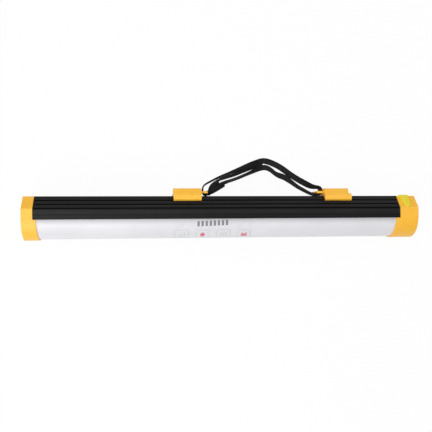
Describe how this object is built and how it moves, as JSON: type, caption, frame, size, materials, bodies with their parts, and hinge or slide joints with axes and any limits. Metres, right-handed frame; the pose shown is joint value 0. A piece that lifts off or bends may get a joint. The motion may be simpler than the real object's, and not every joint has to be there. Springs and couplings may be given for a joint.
{
  "type": "led light tube",
  "caption": "Cordless tube lamp with a ribbed aluminium housing, half-round opal diffuser, moulded end caps, sliding clips and a webbing carry strap.",
  "frame": {"origin": "on the surface that the lamp lies on, below the middle of the lamp without its strap", "axes": "+X along the tube to the switch end, +Y towards the top rail and the carry strap, +Z out of the front flank"},
  "size_m": [0.6, 0.1255, 0.0677],
  "materials": {
    "black_anodised": "black anodised, satin",
    "opal_plastic": "opal polycarbonate, satin",
    "amber_plastic": "fine moulded texture",
    "lime_rubber": "soft touch",
    "black_rubber": "matt",
    "black_webbing": "woven polyester",
    "black_plastic": "moulded",
    "steel": "zinc plated",
    "brass": "turned",
    "circuit_board": "solder mask",
    "white_board": "white solder mask",
    "led_package": "phosphor silicone",
    "grey_tape": "matt",
    "cell_wrap": "shrink wrap",
    "red_lead": "insulation",
    "white_lead": "insulation",
    "label_film": "printed film"
  },
  "bodies": {
    "lamp": {"housing_extrusion": "black_anodised", "diffuser": "opal_plastic", "left_end_cap": "amber_plastic", "right_end_cap": "amber_plastic", "left_cap_gasket": "black_rubber", "right_cap_gasket": "black_rubber", "left_cap_screws": "steel", "right_cap_screws": "steel", "power_switch": "black_plastic", "switch_board": "circuit_board", "charge_socket": "steel", "charge_board": "circuit_board", "thermal_tape": "grey_tape", "led_board": "white_board", "leds": "led_package", "battery_cells": "cell_wrap", "battery_cradle": "black_plastic", "driver_standoffs": "brass", "driver_board": "circuit_board", "driver_components": "black_plastic", "battery_leads": "red_lead", "led_leads": "white_lead", "switch_leads": "white_lead", "info_label": "label_film"},
    "left_clip": {"left_strap_clip": "amber_plastic", "carry_strap_main": "black_webbing", "carry_strap_return": "black_webbing", "strap_keeper": "black_webbing"},
    "right_clip": {"right_strap_clip": "amber_plastic"},
    "button": {"power_button": "lime_rubber", "switch_plunger": "black_plastic"},
    "flap": {"charge_port_flap": "black_rubber"}
  },
  "joints": [
    {"name": "left_clip_slide", "type": "slide", "parent": "lamp", "child": "left_clip", "axis": [1, 0, 0], "range_m": [-0.2, 0.072]},
    {"name": "right_clip_slide", "type": "slide", "parent": "lamp", "child": "right_clip", "axis": [1, 0, 0], "range_m": [-0.2, 0.072]},
    {"name": "power_button_press", "type": "slide", "parent": "lamp", "child": "button", "axis": [0, -0.6591, -0.7521], "range_m": [0, 0.0012], "stiffness_N_per_m": 1500},
    {"name": "charge_flap_hinge", "type": "hinge", "parent": "lamp", "child": "flap", "pos_m": [0.2992, 0.0004, 0.0335], "axis": [0, 0, 1], "range_deg": [0, 100]}
  ],
  "couplings": [
    {"joint": "right_clip_slide", "follows": "left_clip_slide", "ratio": 1}
  ]
}
